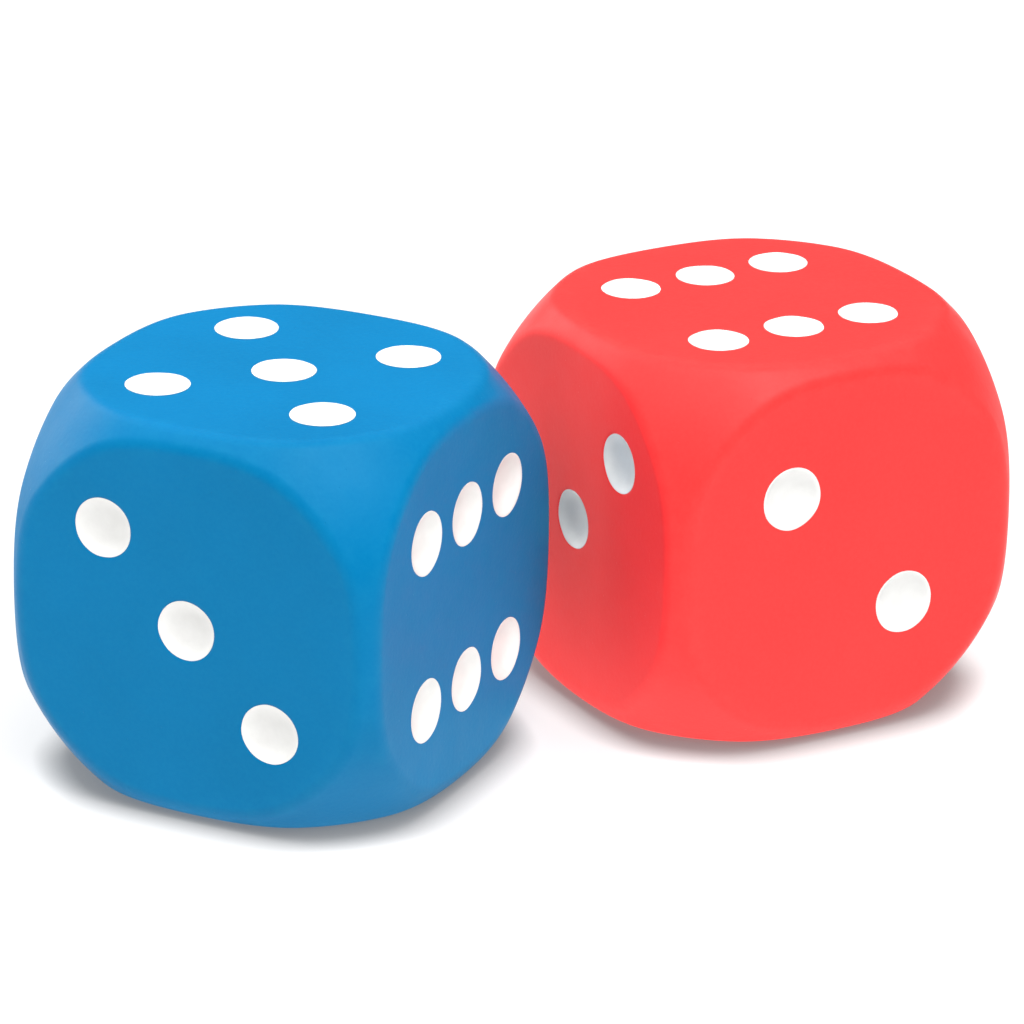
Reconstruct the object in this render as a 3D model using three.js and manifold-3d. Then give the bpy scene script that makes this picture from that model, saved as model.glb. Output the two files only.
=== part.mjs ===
// A pair of giant soft dice for lawn games, one blue and one red.
//
// Each die is a block of soft foam inside a thin coloured skin. Its shape is a cube whose corners
// are cut back by a ball and whose edges are all blended by one small radius. Twenty-one dished
// white inlays, the pips, fill round openings in the skin and sit in shallow sockets in the foam.
// Opposite faces add up to seven.
//
// Units are millimetres and +Z is up. The dice stand side by side on Z = 0. The blue die is square
// to the axes, and the origin is the bottom centre of the box that holds both.

import * as THREE from "three";
import { ConvexGeometry } from "three/addons/geometries/ConvexGeometry.js";
import { mergeVertices } from "three/addons/utils/BufferGeometryUtils.js";
import Module from "manifold-3d";

// Driving dimensions of a die.
const EDGE = 127; // across opposite faces
const CORNER_BALL = 1.4 * EDGE; // diameter of the ball that cuts the corners back
const EDGE_RADIUS = EDGE / 20; // blend along every edge
const SKIN = 2; // thickness of the coloured skin
const BOND_GAP = 0.3; // glue line between bonded pieces

// Driving dimensions of a pip.
const PIP_RADIUS = 10.1;
const PIP_DISH = 3; // depth of the dish below the pip's own rim
const PIP_SET_BACK = 0.3; // the rim sits this far below the face
const PIP_THICKNESS = 1.2; // at the bottom of the dish

// Distance of a pip from the face's centre lines, for each number of pips.
const PIP_STEP = { 1: 0, 2: 21.3, 3: 28.5, 4: 28.5, 5: 28.5, 6: 27.5 };

// Where the red die stands, measured from the blue die's centre, and how far it is turned.
const RED_RIGHT = 100.5;
const RED_BEHIND = 125.4;
const RED_TURN = THREE.MathUtils.degToRad(-35);

// How finely the round surfaces are cut into flat ones.
const FLAT_SIDES = 24; // round the outline of a face
const BLEND_STEPS = 2; // across the blend between a face and what adjoins it
const PIP_SIDES = 16; // round a pip
const DISH_RINGS = 2; // from the middle of a dish to its rim

const COLOURS = { blue: "#0a85cf", red: "#f0413f", white: "#f6f5f1", foam: "#d9d2c0" };
const ROUGHNESS = { skin: 0.45, pip: 0.5, foam: 0.95 };

const MERGE_WITHIN = 1e-4; // vertices closer than this are one vertex

const wasm = await Module();
wasm.setup();

// ---------------------------------------------------------------- joining and cutting

function toSolid(geometry) {
  const bare = geometry.clone();
  bare.deleteAttribute("normal");
  bare.deleteAttribute("uv");
  const merged = mergeVertices(bare, MERGE_WITHIN);
  return new wasm.Manifold(
    new wasm.Mesh({
      numProp: 3,
      vertProperties: new Float32Array(merged.attributes.position.array),
      triVerts: new Uint32Array(merged.index.array),
    }),
  );
}

function toGeometry(solid) {
  const { vertProperties, triVerts } = solid.getMesh();
  const geometry = new THREE.BufferGeometry();
  geometry.setAttribute("position", new THREE.BufferAttribute(vertProperties, 3));
  geometry.setIndex(new THREE.BufferAttribute(triVerts, 1));
  geometry.computeVertexNormals();
  return geometry;
}

// ---------------------------------------------------------------- the faces and their pips

// Each face's number of pips, the way it looks, and which way its first in-plane axis runs. The
// rows of three on the six run along that axis.
const X = new THREE.Vector3(1, 0, 0);
const Y = new THREE.Vector3(0, 1, 0);
const Z = new THREE.Vector3(0, 0, 1);
const away = (axis) => axis.clone().negate();
const FACES = {
  blue: [
    { pips: 6, out: X, along: Y },
    { pips: 1, out: away(X), along: Y },
    { pips: 4, out: Y, along: X },
    { pips: 3, out: away(Y), along: Z },
    { pips: 5, out: Z, along: X },
    { pips: 2, out: away(Z), along: X },
  ],
  red: [
    { pips: 2, out: X, along: Z },
    { pips: 5, out: away(X), along: Y },
    { pips: 4, out: Y, along: X },
    { pips: 3, out: away(Y), along: X },
    { pips: 6, out: Z, along: Y },
    { pips: 1, out: away(Z), along: X },
  ],
};
const WORDS = { 1: "one", 2: "two", 3: "three", 4: "four", 5: "five", 6: "six" };

// Pip centres on a face as steps along its two in-plane axes.
const CENTRE = [[0, 0]];
const DIAGONAL = [[-1, -1], [1, 1]]; // prettier-ignore
const OTHER_DIAGONAL = [[-1, 1], [1, -1]]; // prettier-ignore
const SIDE_MIDDLES = [[0, -1], [0, 1]]; // prettier-ignore
const PATTERNS = {
  1: CENTRE,
  2: DIAGONAL,
  3: [...DIAGONAL, ...CENTRE],
  4: [...DIAGONAL, ...OTHER_DIAGONAL],
  5: [...DIAGONAL, ...OTHER_DIAGONAL, ...CENTRE],
  6: [...DIAGONAL, ...OTHER_DIAGONAL, ...SIDE_MIDDLES],
};

// The point at a height over the die's centre plane, and at two distances along a face's axes.
function pointOnFace({ out, along }, height, u, v) {
  const across = out.clone().cross(along);
  return new THREE.Vector3()
    .addScaledVector(out, height)
    .addScaledVector(along, u)
    .addScaledVector(across, v);
}

// Each pip's name, and a matrix that carries +Z to the face's outward direction and the origin to
// the pip's centre on the face.
function pipPlaces(faces) {
  return faces.flatMap((face) => {
    const { pips, out, along } = face;
    const step = PIP_STEP[pips];
    const turn = new THREE.Matrix4().makeBasis(along, out.clone().cross(along), out);
    return PATTERNS[pips].map(([u, v], index) => ({
      name: `${WORDS[pips]}_pip_${index + 1}`,
      matrix: turn.clone().setPosition(pointOnFace(face, EDGE / 2, u * step, v * step)),
    }));
  });
}

const PIP_FLOOR = PIP_SET_BACK + PIP_DISH + PIP_THICKNESS; // depth of a pip's flat back

// A disc of revolution about +Z with a dished front, its rim just below Z = 0.
function pipGeometry() {
  const profile = [new THREE.Vector2(0, -PIP_FLOOR), new THREE.Vector2(PIP_RADIUS, -PIP_FLOOR)];
  for (let ring = DISH_RINGS; ring >= 0; ring -= 1) {
    const share = ring / DISH_RINGS;
    const depth = PIP_SET_BACK + PIP_DISH * (1 - share ** 2);
    profile.push(new THREE.Vector2(share * PIP_RADIUS, -depth));
  }
  return new THREE.LatheGeometry(profile, PIP_SIDES).rotateX(Math.PI / 2);
}

// Cuts a round hole of a given depth at every pip, a bond gap wider than the pip itself.
function cutAtPips(solid, places, depth) {
  const radius = PIP_RADIUS + BOND_GAP;
  const tool = new THREE.CylinderGeometry(radius, radius, 2 * depth, PIP_SIDES);
  tool.rotateX(Math.PI / 2);
  return places.reduce(
    (rest, { matrix }) => rest.subtract(toSolid(tool.clone().applyMatrix4(matrix))),
    solid,
  );
}

// ---------------------------------------------------------------- the rounded cube

// The die is a smaller cube cut by a smaller ball, and then grown by the edge radius all round.
const SMALL_HALF = EDGE / 2 - EDGE_RADIUS;
const SMALL_BALL = CORNER_BALL / 2 - EDGE_RADIUS;
const CUT_RADIUS = Math.sqrt(SMALL_BALL ** 2 - SMALL_HALF ** 2); // where ball and face meet

// A point on the outline of one of the small cut cube's faces: a circle kept inside a square.
function outlinePoint(face, angle) {
  const [cos, sin] = [Math.cos(angle), Math.sin(angle)];
  const reach = Math.min(CUT_RADIUS, SMALL_HALF / Math.max(Math.abs(cos), Math.abs(sin)));
  return pointOnFace(face, SMALL_HALF, reach * cos, reach * sin);
}

// The die's outer shape moved inwards by a depth, centred on the origin: the hull of six flat
// faces, the blends that roll outwards from their outlines, and the tips of the eight corners.
function roundedCube(faces, depth) {
  const grow = EDGE_RADIUS - depth;
  const points = [];
  for (const face of faces) {
    for (let side = 0; side < FLAT_SIDES; side += 1) {
      const rim = outlinePoint(face, (side / FLAT_SIDES) * 2 * Math.PI);
      const lastNormal = rim.clone().normalize();
      for (let step = 0; step <= BLEND_STEPS; step += 1) {
        const normal = face.out.clone().lerp(lastNormal, step / BLEND_STEPS).normalize();
        points.push(rim.clone().addScaledVector(normal, grow));
      }
    }
  }
  for (const x of [-1, 1]) {
    for (const y of [-1, 1]) {
      for (const z of [-1, 1]) points.push(new THREE.Vector3(x, y, z).setLength(SMALL_BALL + grow));
    }
  }
  return toSolid(new ConvexGeometry(points));
}

// ---------------------------------------------------------------- a whole die

function named(name, geometry, colour, roughness) {
  const material = new THREE.MeshStandardMaterial({ color: colour, roughness, metalness: 0 });
  const mesh = new THREE.Mesh(geometry, material);
  mesh.name = name;
  return mesh;
}

// The coloured skin is hollow, with an opening at every pip.
function skinGeometry(faces, places) {
  const shell = roundedCube(faces, 0).subtract(roundedCube(faces, SKIN));
  return toGeometry(cutAtPips(shell, places, 2 * SKIN));
}

// The foam fills the skin but for the bond, and holds the back of each pip in a socket.
function coreGeometry(faces, places) {
  const block = roundedCube(faces, SKIN + BOND_GAP);
  return toGeometry(cutAtPips(block, places, PIP_FLOOR + BOND_GAP));
}

// One die centred on its own origin, with its faces square to the axes.
function makeDie(colour) {
  const die = new THREE.Group();
  const faces = FACES[colour];
  const places = pipPlaces(faces);
  const core = coreGeometry(faces, places);
  const skin = skinGeometry(faces, places);
  die.add(named(`${colour}_foam_core`, core, COLOURS.foam, ROUGHNESS.foam));
  die.add(named(`${colour}_skin`, skin, COLOURS[colour], ROUGHNESS.skin));
  for (const { name, matrix } of places) {
    const pip = named(`${colour}_${name}`, pipGeometry(), COLOURS.white, ROUGHNESS.pip);
    pip.applyMatrix4(matrix);
    die.add(pip);
  }
  return die;
}

// ---------------------------------------------------------------- the pair

const blueDie = makeDie("blue");
const redDie = makeDie("red");
redDie.position.set(RED_RIGHT, RED_BEHIND, 0);
redDie.rotation.z = RED_TURN;

const pair = new THREE.Group();
pair.add(blueDie, redDie);
const bounds = new THREE.Box3().setFromObject(pair, true);
const middle = bounds.getCenter(new THREE.Vector3());
pair.position.set(-middle.x, -middle.y, -bounds.min.z);

export default pair;
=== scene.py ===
"""A pair of giant soft dice: a coloured self-skinned coat over a foam block, with dished white pips.

Each die's coat is a rounded cube whose corners are cut back by a ball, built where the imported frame
holds the die. A round dimple with a soft lip is let into its face at every pip, and each pip is a
piece of its own that fills the dimple and ends in a slightly uneven, hand-filled edge. The foam
block fills the coat but for a thin bond, and has a socket behind every pip. Lengths are in metres.
"""

import math

import bmesh
import bpy
import numpy as np
from mathutils import Matrix, Vector, noise
from mathutils.geometry import delaunay_2d_cdt


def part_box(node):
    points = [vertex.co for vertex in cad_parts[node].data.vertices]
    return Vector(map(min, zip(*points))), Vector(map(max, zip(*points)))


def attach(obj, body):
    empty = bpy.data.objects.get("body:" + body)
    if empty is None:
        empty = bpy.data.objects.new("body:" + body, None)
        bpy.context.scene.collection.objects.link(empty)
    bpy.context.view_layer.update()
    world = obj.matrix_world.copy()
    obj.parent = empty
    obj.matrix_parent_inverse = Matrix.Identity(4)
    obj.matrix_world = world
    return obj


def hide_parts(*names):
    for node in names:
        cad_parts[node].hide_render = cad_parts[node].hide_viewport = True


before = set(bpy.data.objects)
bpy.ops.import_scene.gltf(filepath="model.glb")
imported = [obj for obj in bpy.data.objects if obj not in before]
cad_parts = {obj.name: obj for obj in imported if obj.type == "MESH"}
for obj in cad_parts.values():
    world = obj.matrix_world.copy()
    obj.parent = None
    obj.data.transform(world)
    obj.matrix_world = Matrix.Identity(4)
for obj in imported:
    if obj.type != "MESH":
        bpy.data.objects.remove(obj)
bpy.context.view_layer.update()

MM = 0.001

# ---------------------------------------------------------------- driving dimensions

# The faces that look along each die's own X, Y and Z, and where its random patterns start.
DICE = {"blue": ("six", "four", "five"), "red": ("two", "four", "six")}
SEEDS = {"blue": 3.0, "red": 41.0}

low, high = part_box("blue_skin")
EDGE = high.z - low.z  # across opposite faces
CORNER_BALL = 1.4 * EDGE  # diameter of the ball that cuts the corners back
EDGE_RADIUS = EDGE / 20  # blend along every edge
CUT_BLEND = 5 * MM  # how softly the ball's cut fades out along an edge
SKIN = 2 * MM  # thickness of the coat
BOND_GAP = 0.3 * MM  # between the coat and the foam

low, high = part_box("blue_five_pip_1")
PIP_RADIUS = (high.x - low.x) / 2
PIP_BACK = EDGE - low.z  # depth of a pip's flat back below its face

# The dimple that a pip fills: a dish, and a soft lip that rolls from the dish up to the face.
LIP_RADIUS = 2.5 * MM
LIP_SLOPE = math.radians(42)  # where the dish meets the lip
LIP_START = PIP_RADIUS + 0.5 * MM  # where the lip leaves the face
DISH_RADIUS = LIP_START - LIP_RADIUS * math.sin(LIP_SLOPE)
DISH_POWER = 3  # the dish is flattest in the middle, and steepens towards the lip

# The white film over the lip. Its mean radius differs a little from face to face, as a share of
# the pip's, and its edge wanders in and out.
FILM = 0.12 * MM  # thickness
FILM_CLEAR = 0.02 * MM  # between the film and the lip
FILM_WANDER = 0.22 * MM
FILM_WAVES = 1.3  # radius of the circle of noise that the wander follows
FILM_REACH = {"blue": {"three": 0.955}, "red": {"three": 0.955, "six": 0.94, "two": 1.02}}

# A soft moulding isn't quite true: its surface dips by up to this much, in slow waves.
WAVE_DEPTH = 0.35 * MM
WAVE_LENGTH = 55 * MM

# How finely the surfaces are cut.
FILLET_STEPS = 8  # across the blend along an edge
OUTLINE_STEPS = 240  # round a face
NECK_STEPS = 2  # across the middle of an edge, between two corners' cuts
RING_SIDES = 64  # round a pip
LIP_STEPS = 6
DISH_STEPS = 14
OUTER_SPACING = 4 * MM  # between points on a surface that shows
INNER_SPACING = 9 * MM  # and on one that doesn't
INSET = 0.5 * MM  # points this far in from an outline keep the blend's shading off the flat
MERGE = 2e-6  # points closer than this are one point
HALVINGS = 40  # of the span in which a ray is known to meet the cut
CREST_REACH = 3 * MM  # how far the rubbed edges reach onto what they adjoin

# The angle between a face and the cut where they meet.
CUT_SLOPE = math.acos((EDGE / 2 - EDGE_RADIUS) / (CORNER_BALL / 2 - EDGE_RADIUS))

# ---------------------------------------------------------------- where the frame holds each die


def middle_of(node):
    lowest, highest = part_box(node)
    return (lowest + highest) / 2


def pip_nodes(colour, word=""):
    """The nodes of a die's pips, or of those on one face."""
    start = f"{colour}_{word}"
    return [name for name in sorted(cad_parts) if name.startswith(start) and "_pip_" in name]


def die_frame(colour):
    """The matrix from a die's own frame, centred in it and square to its faces, to the scene's."""
    centre = middle_of(f"{colour}_skin")
    axes = []
    for word in DICE[colour]:
        pips = pip_nodes(colour, word)
        face = sum((middle_of(pip) for pip in pips), Vector()) / len(pips)
        axes.append((face - centre).normalized())
    return Matrix.Translation(centre) @ Matrix(axes).transposed().to_4x4()


def face_frames():
    """The axes (u, v, out) of each of a die's six faces, as the rows of a right-handed matrix."""
    for axis in range(3):
        for sign in (1, -1):
            out = np.zeros(3)
            out[axis] = sign
            u = np.roll(out, 1)
            yield np.array([u, np.cross(out, u), out])


# ---------------------------------------------------------------- sewing patches into one mesh


class Patchwork:
    """Patches of one surface, sewn together where their edges meet. Each point has a crest value:
    1 on the rounded edges of the die, falling to 0 a little way beyond them."""

    def __init__(self):
        self.points = []
        self.faces = []
        self.crests = []

    def add(self, points, faces, crests=None):
        first = len(self.points)
        self.points.extend(points)
        self.crests.extend(np.zeros(len(points)) if crests is None else crests)
        self.faces.extend([tuple(first + i for i in face) for face in faces])

    def add_turned_over(self, other):
        self.add(other.points, [face[::-1] for face in other.faces], other.crests)

    def to_object(self, name, place):
        mesh = bpy.data.meshes.new(name)
        mesh.from_pydata([place @ Vector(p) for p in self.points], [], self.faces)
        crest = mesh.attributes.new("crest", "FLOAT", "POINT")
        crest.data.foreach_set("value", np.array(self.crests, np.float32))
        sewn = bmesh.new()
        sewn.from_mesh(mesh)
        bmesh.ops.remove_doubles(sewn, verts=sewn.verts, dist=MERGE)
        sewn.to_mesh(mesh)
        sewn.free()
        mesh.shade_smooth()
        piece = bpy.data.objects.new(name, mesh)
        bpy.context.scene.collection.objects.link(piece)
        return piece


def ring_faces(rows, columns):
    """Quads of a grid of closed rings. They face up where the rings are anticlockwise and each
    lies inside the one before it."""
    return [
        (row * columns + i, row * columns + j, (row + 1) * columns + j, (row + 1) * columns + i)
        for row in range(rows - 1)
        for i, j in zip(range(columns), [*range(1, columns), 0])
    ]


def honeycomb(reach, spacing):
    """Points of a triangular lattice within reach of the origin along both axes."""
    row_spacing = spacing * math.sqrt(0.75)
    rows = int(reach / row_spacing)
    columns = int(reach / spacing)
    for row in range(-rows, rows + 1):
        for column in range(-columns, columns + 1):
            yield (column + row % 2 / 2) * spacing, row * row_spacing


def turns_round(steps):
    """Angles evenly round a circle."""
    return np.arange(steps) * 2 * math.pi / steps


def ring(centre, radius):
    turns = turns_round(RING_SIDES)
    return np.array(centre) + radius * np.stack([np.cos(turns), np.sin(turns)], axis=1)


def fill(loop, holes, free):
    """2-D points and triangles that fill a loop around some loops of holes, through free points."""
    points = [Vector(p) for p in [*loop, *(p for hole in holes for p in hole), *free]]
    edges = []
    first = len(loop)
    for hole in holes:
        count = len(hole)
        edges += [(first + i, first + (i + 1) % count) for i in range(count)]
        first += count
    inside_only = 1
    found, _, triangles, *_ = delaunay_2d_cdt(
        points, edges, [list(range(len(loop)))], inside_only, MERGE / 2
    )
    found = np.array([tuple(p) for p in found])
    kept = []
    for triangle in triangles:
        middle = found[list(triangle)].mean(axis=0)
        if all(np.linalg.norm(middle - hole.mean(axis=0)) > reach_of(hole) for hole in holes):
            kept.append(tuple(triangle))
    return found, kept


def reach_of(hole):
    """The radius of the circle inside a round hole's sides."""
    return np.linalg.norm(hole[0] - hole.mean(axis=0)) * math.cos(math.pi / len(hole))


# ---------------------------------------------------------------- the rounded cube

# The die is a smaller cube whose corners are cut back by a smaller ball, grown by the edge radius
# all round. The ball is blended into planes that touch the cube's edges, so that the cut fades out
# along each edge and the die's outline has no kink.
SMALL_HALF = EDGE / 2 - EDGE_RADIUS
SMALL_BALL = CORNER_BALL / 2 - EDGE_RADIUS
OUT = np.array([0.0, 0.0, 1.0])


def unit(vectors):
    return vectors / np.linalg.norm(vectors, axis=-1, keepdims=True)


def turned(start, end, share):
    """The unit vector a share of the way round from one unit vector to another."""
    angle = np.arccos(np.clip((start * end).sum(axis=-1, keepdims=True), -1, 1))
    return (start * np.sin((1 - share) * angle) + end * np.sin(share * angle)) / np.sin(angle)


def beyond_cut(points):
    """How far points lie outside the cut, and the directions in which that grows."""
    size = np.abs(points)
    beyond_ball = np.linalg.norm(points, axis=-1) - SMALL_BALL
    edge_way = np.where(size > size.min(axis=-1, keepdims=True), np.sign(points), 0) / math.sqrt(2)
    beyond_edge = (points * edge_way).sum(axis=-1) - SMALL_HALF * math.sqrt(2)
    share = np.clip(0.5 + (beyond_ball - beyond_edge) / (2 * CUT_BLEND), 0, 1)
    near = np.maximum(CUT_BLEND - np.abs(beyond_ball - beyond_edge), 0)
    depth = np.maximum(beyond_ball, beyond_edge) + near**2 / (4 * CUT_BLEND)
    way = share[..., None] * unit(points) + (1 - share[..., None]) * edge_way
    return depth, unit(way)


def on_cut(start, ways):
    """The points where rays from a start point meet the cut, and the normals there."""
    near = np.zeros((len(ways), 1))
    far = np.full((len(ways), 1), 2 * SMALL_BALL)
    for _ in range(HALVINGS):
        middle = (near + far) / 2
        inside = beyond_cut(start + middle * ways)[0][:, None] < 0
        near = np.where(inside, middle, near)
        far = np.where(inside, far, middle)
    points = start + middle * ways
    return points, beyond_cut(points)[1]


def face_outline():
    """Once round a face of the small cut cube, in the face's (u, v, out): points, and the normals
    where their blends end."""
    turns = turns_round(OUTLINE_STEPS)
    ways = np.stack([np.cos(turns), np.sin(turns), np.zeros(OUTLINE_STEPS)], axis=1)
    return on_cut(OUT * SMALL_HALF, ways)


OUTLINE, BLEND_ENDS = face_outline()


def crest_at(distance):
    """The crest value at a distance from a face's outline."""
    return np.clip(1 - distance / CREST_REACH, 0, 1)


def add_fillets(patch, grow, basis):
    """The blends that roll outwards from one face's outline."""
    shares = [step / FILLET_STEPS for step in range(FILLET_STEPS + 1)]
    rings = [OUTLINE + grow * turned(OUT, BLEND_ENDS, share) for share in shares]
    points = np.concatenate(rings[::-1]) @ basis
    patch.add(points, ring_faces(FILLET_STEPS + 1, OUTLINE_STEPS), np.ones(len(points)))


def add_flat(patch, grow, basis, holes, hole_radius, spacing):
    """One flat face, with a round hole at each of some places on it."""
    inset = OUTLINE[:, :2] - INSET * unit(BLEND_ENDS[:, :2])
    clear = INSET + spacing / 2  # of free points from the outlines
    within = [
        p
        for p in honeycomb(SMALL_HALF, spacing)
        if beyond_cut(np.array([*p, SMALL_HALF]))[0] < -clear * math.sin(CUT_SLOPE)
        and all(math.dist(p, hole) > hole_radius + clear for hole in holes)
    ]
    rims = [p for hole in holes for p in ring(hole, hole_radius + INSET)]
    rings = [ring(hole, hole_radius) for hole in holes]
    points, triangles = fill(OUTLINE[:, :2], rings, [*inset, *rims, *within])
    on_plane = np.insert(points, 2, SMALL_HALF, axis=1)
    crests = crest_at(-beyond_cut(on_plane)[0] / math.sin(CUT_SLOPE))
    patch.add((on_plane + grow * OUT) @ basis, triangles, crests)


def add_corner(patch, grow, signs, spacing):
    """The cut at one corner, between the blends of three faces and as far as the middles of the
    edges between them. It is laid out on a plane across the corner."""
    out = signs / math.sqrt(3)
    u = unit(np.cross(out, [0, 0, 1]))
    basis = np.array([u, np.cross(out, u), out])

    def laid_out(points):
        """Where rays from the die's centre through the points meet that plane."""
        local = points @ basis.T
        return local[:, :2] * SMALL_BALL / local[:, 2:]

    def lifted(flat):
        """The points of the cut over points of the plane, and the normals there."""
        ways = unit(np.insert(np.asarray(flat), 2, SMALL_BALL, axis=1) @ basis)
        return on_cut(np.zeros(3), ways)

    quarter = OUTLINE[: OUTLINE_STEPS // 4 + 1]
    shares = np.linspace(0, 1, NECK_STEPS + 1)[1:-1, None]
    neck = quarter[0] * (1 - shares) + quarter[0][::-1] * shares
    third = np.concatenate([quarter, neck])
    edge = np.concatenate([np.roll(third, axis, axis=1) for axis in range(3)])
    loop = sorted((tuple(p) for p in laid_out(edge * signs)), key=lambda p: math.atan2(p[1], p[0]))

    grid = np.array(list(honeycomb(SMALL_BALL, spacing)))
    spots = lifted(grid)[0] * signs
    off_faces = SMALL_HALF - spots.max(axis=1) > spacing / 3
    off_necks = spots.min(axis=1) > spacing / 2
    points, triangles = fill(loop, [], grid[off_faces & off_necks])
    middle, normals = lifted(points)
    crests = crest_at((SMALL_HALF - np.abs(middle).max(axis=1)) / math.sin(CUT_SLOPE))
    patch.add(middle + grow * normals, triangles, crests)


def outside(depth, spots, hole_radius, spacing):
    """The die's surface moved inwards by a depth, with a round hole round each of some spots."""
    patch = Patchwork()
    grow = EDGE_RADIUS - depth
    for basis in face_frames():
        on_face = [basis @ spot for spot in spots if basis[2] @ spot > SMALL_HALF]
        add_fillets(patch, grow, basis)
        add_flat(patch, grow, basis, [tuple(spot[:2]) for spot in on_face], hole_radius, spacing)
    for x in (-1, 1):
        for y in (-1, 1):
            for z in (-1, 1):
                add_corner(patch, grow, np.array([x, y, z]), spacing)
    return patch


# ---------------------------------------------------------------- the dimples and the pips


def on_lip(slope, lift):
    """(radius, depth) on the lip where it slopes by that much, lifted off it by a distance."""
    reach = LIP_RADIUS + lift
    return LIP_START - reach * math.sin(slope), LIP_RADIUS - reach * math.cos(slope)


def add_turning(patch, profile, spot, basis):
    """A surface of revolution about a pip's middle, from a profile of (radius, depth)."""
    u, v, _ = basis @ spot
    rings = []
    for radius, depth in profile:
        rings.append(np.insert(ring((u, v), radius), 2, EDGE / 2 - depth, axis=1))
    patch.add(np.concatenate(rings) @ basis, ring_faces(len(profile), RING_SIDES))


def add_dimple(patch, spot, basis):
    """The lip round a pip, and the wall of the hole through the coat."""
    profile = [on_lip(LIP_SLOPE * step / LIP_STEPS, 0) for step in range(LIP_STEPS + 1)]
    add_turning(patch, [*profile, (DISH_RADIUS, SKIN)], spot, basis)


def add_socket(patch, spot, basis):
    """The hollow in the foam behind a pip."""
    rim = PIP_RADIUS + BOND_GAP
    bottom = PIP_BACK + BOND_GAP
    profile = [(rim, SKIN + BOND_GAP), (rim, bottom), (rim / 2, bottom), (0, bottom)]
    add_turning(patch, profile, spot, basis)


def pip_profile(edge_radius):
    """(radius, depth) from the middle of a pip's back, round its side and over its edge, to the
    middle of its dish. The film ends on the lip at the edge radius."""
    edge_slope = math.asin((LIP_START - edge_radius) / LIP_RADIUS)
    shares = [step / LIP_STEPS for step in range(LIP_STEPS + 1)]
    under = [LIP_SLOPE + (edge_slope - LIP_SLOPE) * share for share in shares]
    neck = DISH_RADIUS - FILM_CLEAR
    profile = [(0, PIP_BACK), (PIP_RADIUS, PIP_BACK)]
    profile += [(PIP_RADIUS, SKIN + BOND_GAP), (neck, SKIN + BOND_GAP)]
    profile += [on_lip(slope, FILM_CLEAR) for slope in under]
    rounding = FILM / 2 / LIP_RADIUS
    profile.append(on_lip(edge_slope - rounding, FILM / 2))
    profile += [on_lip(slope, FILM) for slope in under[::-1]]
    edge, start = profile[-1]
    for step in range(DISH_STEPS - 1, -1, -1):
        share = step / DISH_STEPS
        depth = edge * math.tan(LIP_SLOPE) / DISH_POWER * (1 - share**DISH_POWER)
        profile.append((edge * share, start + depth))
    return profile


def pip_patch(spot, basis, reach, seed):
    """A pip, whose edge wanders about a mean radius as a hand-filled edge does."""
    patch = Patchwork()
    columns = []
    for turn in turns_round(RING_SIDES):
        way = (math.cos(turn) * FILM_WAVES, math.sin(turn) * FILM_WAVES, seed)
        wander = max(-1, min(1, noise.noise(Vector(way))))
        columns.append((turn, pip_profile(reach + FILM_WANDER * wander)))
    u, v, _ = basis @ spot
    rows = len(columns[0][1])
    points = []
    for row in range(rows):
        for turn, profile in columns:
            radius, depth = profile[row]
            x = u + radius * math.cos(turn)
            y = v + radius * math.sin(turn)
            points.append(np.array([x, y, EDGE / 2 - depth]) @ basis)
    patch.add(points, ring_faces(rows, RING_SIDES))
    return patch


def wave(patch, seed):
    """Lets the surface dip inwards in slow waves, the same for a coat and the pips in it."""
    for i, point in enumerate(patch.points):
        height = noise.noise(Vector(point) / WAVE_LENGTH + Vector((seed, seed, seed)))
        dip = WAVE_DEPTH * (0.5 + 0.5 * max(-1, min(1, height)))
        patch.points[i] = point - dip * unit(np.array(point)) if np.any(point) else point


# ---------------------------------------------------------------- materials

# Colours of the coats: fresh, where they are rubbed, and of the light that they reflect.
COATS = {
    "blue": ((0.0, 0.139, 0.322), (0.008, 0.20, 0.38), (0.4, 0.9, 1.0)),
    "red": ((0.920, 0.034, 0.033), (0.95, 0.067, 0.060), (1.0, 1.0, 1.0)),
}
MOTTLE = (0.94, 1.05)  # darkest and lightest share of a coat's colour
SPECKLE = 0.10  # how much of the rubbed colour shows in the speckle
RUBBED = 0.16  # and on the rounded edges
PAINT = ((0.64, 0.636, 0.622), (0.69, 0.687, 0.673))
# Colours of the foam: a painted shade in the hollow of each pore, and the foam's own cream round it.
FOAM_PORE_SHADE_AND_CREAM = ((0.45, 0.40, 0.30), (0.74, 0.69, 0.57))

# The floor's colour and its own light: darkened to a painted shadow close to what stands on it, and
# in the open.
FLOOR_BASE_WITH_PAINTED_SHADOW = ((0.12, 0.12, 0.12), (0.25, 0.25, 0.25))
FLOOR_GLOW_WITH_PAINTED_SHADOW = ((0.30, 0.30, 0.30), (1.0, 1.0, 1.0))
FLOOR_GLOW_STRENGTH = 0.65
# How far the painted shadow reaches round whatever stands on the floor.
PAINTED_SHADOW_REACH = 14 * MM

# Roughness, lowest and highest where it varies, and how strongly each surface shines.
COAT_ROUGHNESS = (0.36, 0.45)
PAINT_ROUGHNESS = (0.42, 0.58)
FOAM_ROUGHNESS = 0.95
FLOOR_ROUGHNESS = 0.9
COAT_SHINE = 0.11
PAINT_SHINE = 0.28
FLOOR_SHINE = 0.1

NOISE_SPAN = (0.3, 0.7)  # between which nearly all of a noise node's values lie


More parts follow.
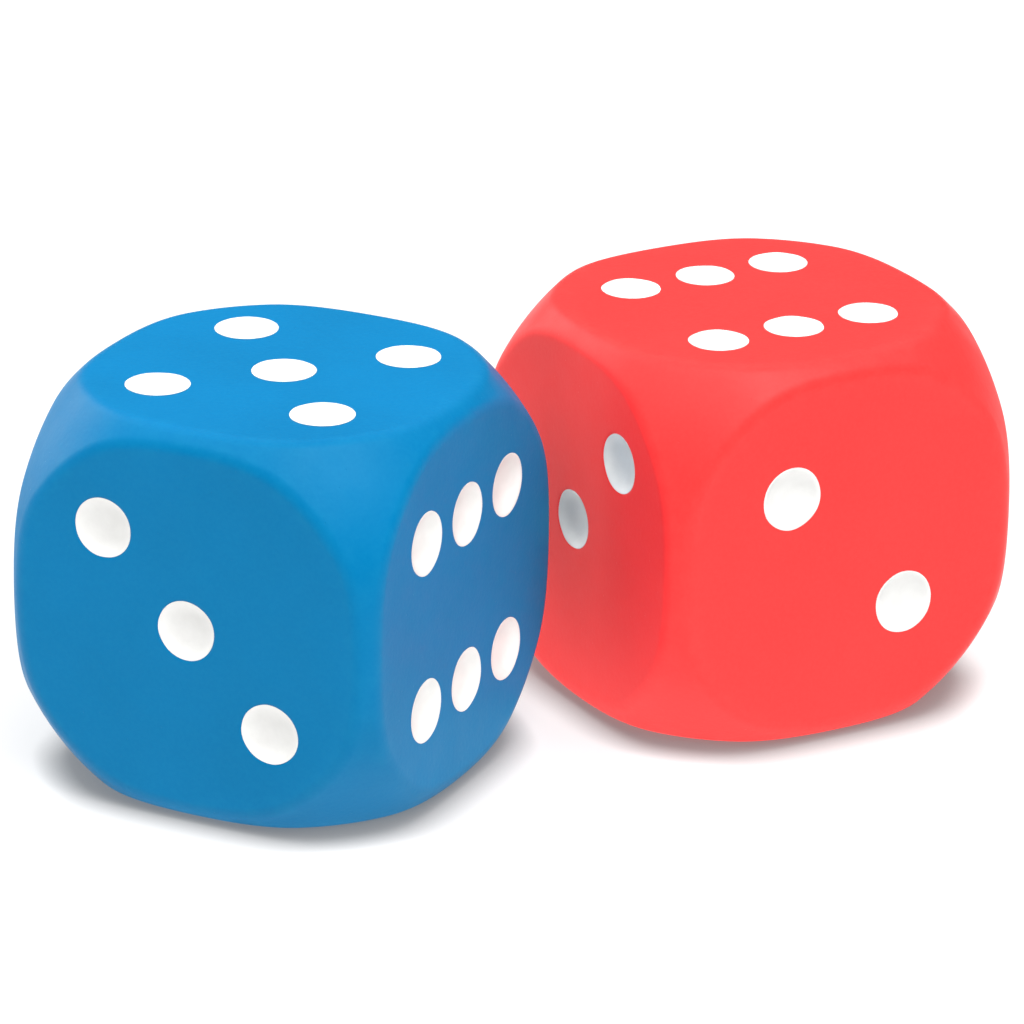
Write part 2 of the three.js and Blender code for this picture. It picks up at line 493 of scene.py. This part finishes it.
class Shader:
    """A material with a Principled surface, and short ways to add nodes to it."""

    def __init__(self, name):
        self.material = bpy.data.materials.new(name)
        self.material.use_nodes = True
        self.nodes = self.material.node_tree.nodes
        self.surface = self.nodes["Principled BSDF"]
        self.place = self.nodes.new("ShaderNodeTexCoord").outputs["Object"]

    def link(self, output, to):
        self.material.node_tree.links.new(output, to)

    def noise(self, size, detail=2, roughness=0.5):
        """Noise whose features are about that size."""
        node = self.nodes.new("ShaderNodeTexNoise")
        node.inputs["Scale"].default_value = 1 / size
        node.inputs["Detail"].default_value = detail
        node.inputs["Roughness"].default_value = roughness
        self.link(self.place, node.inputs["Vector"])
        return node.outputs["Fac"]

    def cells(self, size):
        """Distance from the middles of scattered cells of about that size."""
        node = self.nodes.new("ShaderNodeTexVoronoi")
        node.inputs["Scale"].default_value = 1 / size
        self.link(self.place, node.inputs["Vector"])
        return node.outputs["Distance"]

    def openness_for_painted_shadow(self, reach):
        """How little of what is round a point lies within reach of it: 1 where nothing does."""
        node = self.nodes.new("ShaderNodeAmbientOcclusion")
        node.inputs["Distance"].default_value = reach
        return node.outputs["AO"]

    def attribute(self, name):
        node = self.nodes.new("ShaderNodeAttribute")
        node.attribute_name = name
        return node.outputs["Fac"]

    def fit(self, value, from_low, from_high, to_low, to_high):
        node = self.nodes.new("ShaderNodeMapRange")
        for i, number in enumerate((from_low, from_high, to_low, to_high)):
            node.inputs[i + 1].default_value = number
        self.link(value, node.inputs["Value"])
        return node.outputs["Result"]

    def times(self, a, b):
        node = self.nodes.new("ShaderNodeMath")
        node.operation = "MULTIPLY"
        self.link(a, node.inputs[0])
        self.link(b, node.inputs[1])
        return node.outputs[0]

    def mix(self, share, colour, other):
        """A mix of two colours, either of which may come from a node."""
        node = self.nodes.new("ShaderNodeMix")
        node.data_type = "RGBA"
        self.link(share, node.inputs["Factor"])
        sockets = node.inputs[6:8]  # A and B as colours
        for socket, value in zip(sockets, (colour, other)):
            if isinstance(value, tuple):
                socket.default_value = (*value, 1)
            else:
                self.link(value, socket)
        return node.outputs[2]  # the result as a colour

    def bump(self, height, distance, under=None):
        """Normals of a relief of that height, on top of another relief if one is given."""
        node = self.nodes.new("ShaderNodeBump")
        node.inputs["Distance"].default_value = distance
        node.inputs["Strength"].default_value = 1
        self.link(height, node.inputs["Height"])
        if under is not None:
            self.link(under, node.inputs["Normal"])
        return node.outputs["Normal"]


def shade(colour, factor):
    return tuple(min(1.0, part * factor) for part in colour)


def coat_material(name, colour, worn, sheen):
    """Self-skinned soft foam: satin, with a faint orange peel, pinholes and paler rubbed edges."""
    s = Shader(name)
    mottle = s.fit(s.noise(60 * MM, detail=3), *NOISE_SPAN, 0, 1)
    base = s.mix(mottle, shade(colour, MOTTLE[0]), shade(colour, MOTTLE[1]))
    speckle = s.fit(s.noise(1.2 * MM), 0.35, 0.65, 0, SPECKLE)
    base = s.mix(speckle, base, worn)
    rubbed = s.fit(s.noise(7 * MM, detail=4, roughness=0.6), 0.42, 0.72, 0, RUBBED)
    base = s.mix(s.times(rubbed, s.attribute("crest")), base, worn)
    s.link(base, s.surface.inputs["Base Color"])
    dull = s.fit(s.noise(9 * MM, detail=3), *NOISE_SPAN, *COAT_ROUGHNESS)
    s.link(dull, s.surface.inputs["Roughness"])
    peel = s.bump(s.noise(1.6 * MM), 0.05 * MM)
    pinholes = s.fit(s.cells(4.5 * MM), 0, 0.07, 0, 1)
    s.link(s.bump(pinholes, 0.10 * MM, under=peel), s.surface.inputs["Normal"])
    s.surface.inputs["Specular IOR Level"].default_value = COAT_SHINE
    s.surface.inputs["Specular Tint"].default_value = (*sheen, 1)
    return s.material


def pip_material():
    """White flexible paint that has been flooded into the dimples."""
    s = Shader("pip_white")
    pooled = s.fit(s.noise(6 * MM, detail=3), *NOISE_SPAN, 0, 1)
    s.link(s.mix(pooled, *PAINT), s.surface.inputs["Base Color"])
    dull = s.fit(s.noise(3 * MM), *NOISE_SPAN, *PAINT_ROUGHNESS)
    s.link(dull, s.surface.inputs["Roughness"])
    pooling = s.bump(s.noise(4 * MM), 0.12 * MM)
    s.link(s.bump(s.noise(0.8 * MM), 0.02 * MM, under=pooling), s.surface.inputs["Normal"])
    s.surface.inputs["Specular IOR Level"].default_value = PAINT_SHINE
    return s.material


def foam_material():
    """Open-cell foam: cream, matt and full of small pores, with painted shade in their hollows."""
    s = Shader("foam")
    cell = s.cells(1.1 * MM)
    # Painted shade: the foam is darker towards the middle of each pore, where the bump sinks its
    # hollow.
    s.link(s.mix(s.fit(cell, 0.1, 0.6, 0, 1), *FOAM_PORE_SHADE_AND_CREAM), s.surface.inputs["Base Color"])
    s.link(s.bump(cell, 0.5 * MM), s.surface.inputs["Normal"])
    s.surface.inputs["Roughness"].default_value = FOAM_ROUGHNESS
    return s.material


def floor_material():
    """Pale and lit a little from within, so that shadows on it stay pale and untinted, with a painted
    shadow, a darker colour and a dimmer glow, close round whatever stands on it."""
    s = Shader("studio_floor")
    # Painted shadow: the floor's colour and its glow both darken close round whatever stands on it.
    openness_for_painted_shadow = s.fit(s.openness_for_painted_shadow(PAINTED_SHADOW_REACH), 0.4, 0.95, 0, 1)
    s.link(s.mix(openness_for_painted_shadow, *FLOOR_BASE_WITH_PAINTED_SHADOW), s.surface.inputs["Base Color"])
    s.link(s.mix(openness_for_painted_shadow, *FLOOR_GLOW_WITH_PAINTED_SHADOW), s.surface.inputs["Emission Color"])
    s.surface.inputs["Emission Strength"].default_value = FLOOR_GLOW_STRENGTH
    s.surface.inputs["Roughness"].default_value = FLOOR_ROUGHNESS
    s.surface.inputs["Specular IOR Level"].default_value = FLOOR_SHINE
    return s.material


COLOURED = {colour: coat_material(f"{colour}_coat", *shades) for colour, shades in COATS.items()}
WHITE = pip_material()
FOAM = foam_material()

# ---------------------------------------------------------------- putting a die together


def finish(patch, name, place, seed, material, body, node):
    """Turns a patchwork into a piece that stands for a node of the frame."""
    wave(patch, seed)
    piece = patch.to_object(name, place)
    piece.data.materials.append(material)
    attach(piece, body)
    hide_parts(node)
    return piece


def make_die(colour):
    seed = SEEDS[colour]
    body = f"{colour}_die"
    place = die_frame(colour)
    inverse = place.inverted()
    pips = {name: np.array(inverse @ middle_of(name)) for name in pip_nodes(colour)}
    spots = list(pips.values())

    coat = outside(0, spots, LIP_START, OUTER_SPACING)
    coat.add_turned_over(outside(SKIN, spots, DISH_RADIUS, INNER_SPACING))
    foam = outside(SKIN + BOND_GAP, spots, PIP_RADIUS + BOND_GAP, INNER_SPACING)
    for number, (name, spot) in enumerate(pips.items()):
        basis = next(b for b in face_frames() if b[2] @ spot > SMALL_HALF)
        add_dimple(coat, spot, basis)
        add_socket(foam, spot, basis)
        face = name.split("_")[1]
        reach = PIP_RADIUS * FILM_REACH[colour].get(face, 1)
        pip = pip_patch(spot, basis, reach, seed + number)
        finish(pip, f"{name}_inlay", place, seed, WHITE, body, name)
    skin = f"{colour}_skin"
    finish(coat, f"{colour}_coat", place, seed, COLOURED[colour], body, skin)
    core = f"{colour}_foam_core"
    block = finish(foam, f"{colour}_foam_block", place, seed, FOAM, body, core)


for colour in DICE:
    make_die(colour)

# ---------------------------------------------------------------- floor, light and camera


def floor(half):
    mesh = bpy.data.meshes.new("studio_floor")
    corners = [(-half, -half, 0), (half, -half, 0), (half, half, 0), (-half, half, 0)]
    mesh.from_pydata(corners, [], [(0, 1, 2, 3)])
    mesh.materials.append(floor_material())
    plane = bpy.data.objects.new("studio_floor", mesh)
    bpy.context.scene.collection.objects.link(plane)
    plane.visible_diffuse = False  # the world's lower half gives the bounced light instead


def soft_sun(name, towards, spread, strength):
    """A light far away, as wide as a softbox looks, so that it falls alike on the whole floor."""
    data = bpy.data.lights.new(name, "SUN")
    data.angle = spread
    data.energy = strength
    lamp = bpy.data.objects.new(name, data)
    lamp.rotation_mode = "QUATERNION"
    lamp.rotation_quaternion = Vector(towards).to_track_quat("Z", "Y")
    bpy.context.scene.collection.objects.link(lamp)


def studio_world(below, horizon, zenith):
    """White light from all round: its strength from below, at the horizon and from straight up."""
    world = bpy.data.worlds.new("studio")
    world.use_nodes = True
    nodes = world.node_tree.nodes
    links = world.node_tree.links
    way = nodes.new("ShaderNodeTexCoord").outputs["Generated"]
    split = nodes.new("ShaderNodeSeparateXYZ")
    fall = nodes.new("ShaderNodeMapRange")
    rise = nodes.new("ShaderNodeMapRange")
    links.new(way, split.inputs["Vector"])
    links.new(split.outputs["Z"], fall.inputs["Value"])
    links.new(split.outputs["Z"], rise.inputs["Value"])
    fall.inputs["From Min"].default_value = FULL_BELOW
    fall.inputs["From Max"].default_value = 0
    fall.inputs["To Min"].default_value = below
    fall.inputs["To Max"].default_value = horizon
    rise.inputs["From Min"].default_value = DIM_UP_TO
    rise.inputs["To Max"].default_value = zenith
    links.new(fall.outputs["Result"], rise.inputs["To Min"])
    background = nodes["Background"]
    background.inputs["Color"].default_value = (1, 1, 1, 1)
    links.new(rise.outputs["Result"], background.inputs["Strength"])
    bpy.context.scene.world = world


# Heights on the world's sphere, from -1 to 1. It is at full strength below the first, falls off
# towards the horizon, and is dim from there up to the second.
FULL_BELOW = -0.5
DIM_UP_TO = 0.4

floor(half=6.0)
soft_sun("key_right", towards=(0.44, -0.24, 0.87), spread=math.radians(45), strength=3.4)
soft_sun("key_left", towards=(-0.24, -0.40, 0.88), spread=math.radians(40), strength=0.85)
soft_sun("fill_behind", towards=(-0.92, 0.14, 0.36), spread=math.radians(50), strength=1.8)
studio_world(below=2.45, horizon=0.12, zenith=1.65)
bpy.context.scene.view_settings.view_transform = "Standard"

# The camera stands in front of the pair and to the right, and looks a little down.
CAMERA_SPOT = (12.916, -24.024, 11.046)  # from the blue die's centre, in halves of an edge
CAMERA_AZIMUTH = math.radians(25.93)
CAMERA_PITCH = math.radians(-21.57)
CAMERA_ROLL = math.radians(0.56)
FIELD = 1024 / 6000  # width of the view over its distance
SENSOR = 36  # width in millimetres, as Blender takes it

data = bpy.data.cameras.new("camera")
data.sensor_width = SENSOR
data.lens = SENSOR / FIELD
data.clip_start = 0.05
data.clip_end = 50
camera = bpy.data.objects.new("camera", data)
look = Vector((
    -math.sin(CAMERA_AZIMUTH) * math.cos(CAMERA_PITCH),
    math.cos(CAMERA_AZIMUTH) * math.cos(CAMERA_PITCH),
    math.sin(CAMERA_PITCH),
))
camera.rotation_mode = "QUATERNION"
roll = Matrix.Rotation(CAMERA_ROLL, 4, "Z").to_quaternion()
camera.rotation_quaternion = look.to_track_quat("-Z", "Y") @ roll
camera.location = middle_of("blue_skin") + Vector(CAMERA_SPOT) * (EDGE / 2)
bpy.context.scene.collection.objects.link(camera)
bpy.context.scene.camera = camera
